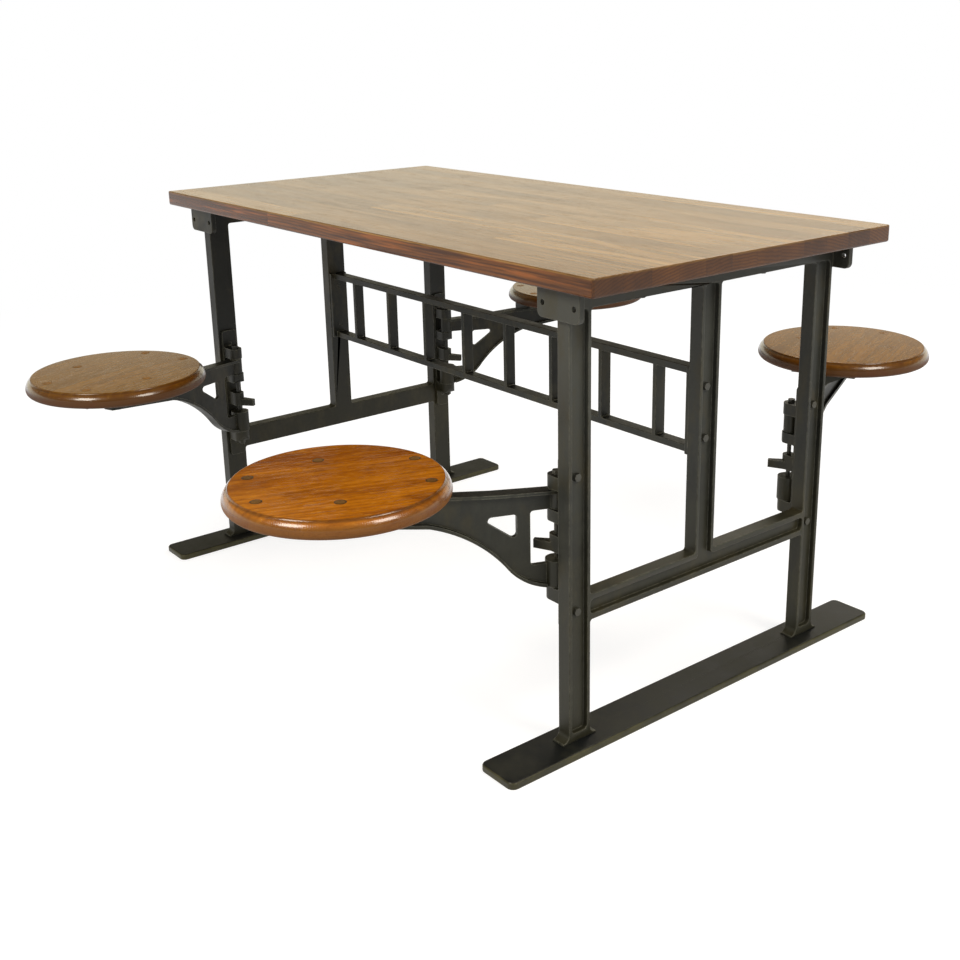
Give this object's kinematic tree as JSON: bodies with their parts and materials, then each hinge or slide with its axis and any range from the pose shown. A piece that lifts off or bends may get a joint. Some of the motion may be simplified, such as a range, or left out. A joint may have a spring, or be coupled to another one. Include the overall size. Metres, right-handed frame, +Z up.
{
  "type": "dining table with attached swing-out seats",
  "caption": "Wooden dining table on cast-iron end frames with round wooden seats on hinged cast arms that swing out from under the top.",
  "frame": {"origin": "on the floor under the middle of the table top", "axes": "+X along the table top towards the right end frame, +Y across the table towards the back seats, +Z up"},
  "size_m": [1.3, 1.4888, 0.762],
  "materials": {
    "dark_wood": "satin varnish",
    "oak": "gloss varnish",
    "plug_wood": "gloss varnish",
    "cast_iron": "satin black, slightly mottled",
    "fasteners": "blackened steel"
  },
  "bodies": {
    "table": {"table_top": "dark_wood", "end_frame_right": "cast_iron", "end_frame_left": "cast_iron", "foot_runner_right": "cast_iron", "foot_runner_left": "cast_iron", "ladder_stretcher": "cast_iron", "stretcher_bolts": "fasteners", "hinge_bolts": "fasteners", "hinge_rod_nuts": "fasteners", "runner_screws": "fasteners", "top_screws": "fasteners", "hinge_bracket_front_right": "cast_iron", "hinge_rod_front_right": "fasteners", "hinge_bracket_front_left": "cast_iron", "hinge_rod_front_left": "fasteners", "hinge_bracket_back_right": "cast_iron", "hinge_rod_back_right": "fasteners", "hinge_bracket_back_left": "cast_iron", "hinge_rod_back_left": "fasteners"},
    "front_right_arm": {"swing_arm_front_right": "cast_iron", "seat_front_right": "oak", "seat_screws_front_right": "fasteners", "seat_plugs_front_right": "plug_wood"},
    "front_left_arm": {"swing_arm_front_left": "cast_iron", "seat_front_left": "oak", "seat_screws_front_left": "fasteners", "seat_plugs_front_left": "plug_wood"},
    "back_right_arm": {"swing_arm_back_right": "cast_iron", "seat_back_right": "oak", "seat_screws_back_right": "fasteners", "seat_plugs_back_right": "plug_wood"},
    "back_left_arm": {"swing_arm_back_left": "cast_iron", "seat_back_left": "oak", "seat_screws_back_left": "fasteners", "seat_plugs_back_left": "plug_wood"}
  },
  "joints": [
    {"name": "front_right_hinge", "type": "hinge", "parent": "table", "child": "front_right_arm", "pos_m": [0.5123, -0.2753, 0.35], "axis": [0, 0, 1], "range_deg": [-68.5, 46.5]},
    {"name": "front_left_hinge", "type": "hinge", "parent": "table", "child": "front_left_arm", "pos_m": [-0.5123, -0.2753, 0.35], "axis": [0, 0, -1], "range_deg": [-68.5, 46.5]},
    {"name": "back_right_hinge", "type": "hinge", "parent": "table", "child": "back_right_arm", "pos_m": [0.5123, 0.2753, 0.35], "axis": [0, 0, -1], "range_deg": [-68.5, 46.5]},
    {"name": "back_left_hinge", "type": "hinge", "parent": "table", "child": "back_left_arm", "pos_m": [-0.5123, 0.2753, 0.35], "axis": [0, 0, 1], "range_deg": [-68.5, 46.5]}
  ]
}
